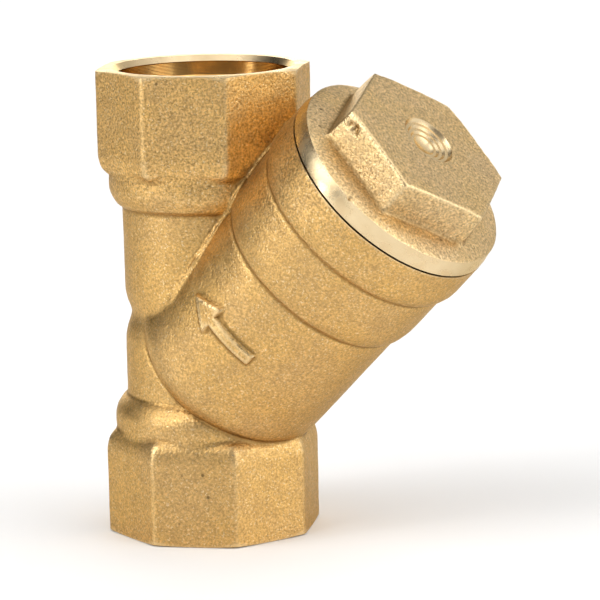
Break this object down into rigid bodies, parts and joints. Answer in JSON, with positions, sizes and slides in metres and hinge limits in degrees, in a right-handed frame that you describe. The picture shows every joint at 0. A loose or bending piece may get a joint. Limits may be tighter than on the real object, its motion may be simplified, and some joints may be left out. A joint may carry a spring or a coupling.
{
  "type": "y strainer",
  "caption": "Cast brass Y strainer with octagonal female-threaded ends, a slanted branch with a hex screw cap, and a removable perforated screen.",
  "frame": {"origin": "middle of the bounding box's base, level with the inlet face the strainer stands on", "axes": "+Z along the run from the inlet to the outlet, +X toward the side the branch leans to, +Y across"},
  "size_m": [0.0534, 0.0288, 0.058],
  "materials": {
    "cast_brass": "shot-blasted casting, satin",
    "cap_brass": "casting with a machined flange edge",
    "gasket_fibre": "matt pressed fibre",
    "sheet_steel": "rolled stainless sheet",
    "wire_steel": "woven stainless wire",
    "rim_steel": "folded stainless channel"
  },
  "bodies": {
    "housing": {"body": "cast_brass"},
    "gasket": {"cap_gasket": "gasket_fibre"},
    "cap": {"cap": "cap_brass"},
    "screen": {"screen_sheet": "sheet_steel", "screen_lining": "wire_steel", "screen_bottom_rim": "rim_steel", "screen_top_rim": "rim_steel"}
  },
  "joints": [
    {"name": "cap_travel", "type": "slide", "parent": "housing", "child": "gasket", "axis": [0.7071, 0, 0.7071], "range_m": [0, 0.0361]},
    {"name": "cap_turn", "type": "hinge", "parent": "gasket", "child": "cap", "pos_m": [-0.01321, 0, 0.018], "axis": [0.7071, 0, 0.7071], "range_deg": [0, 8640]},
    {"name": "screen_travel", "type": "slide", "parent": "housing", "child": "screen", "axis": [0.7071, 0, 0.7071], "range_m": [0, 0.0361]}
  ],
  "couplings": [
    {"joint": "cap_travel", "follows": "cap_turn", "m_per_rad": 0.00023873},
    {"joint": "screen_travel", "follows": "cap_turn", "m_per_rad": 0.00023873}
  ]
}
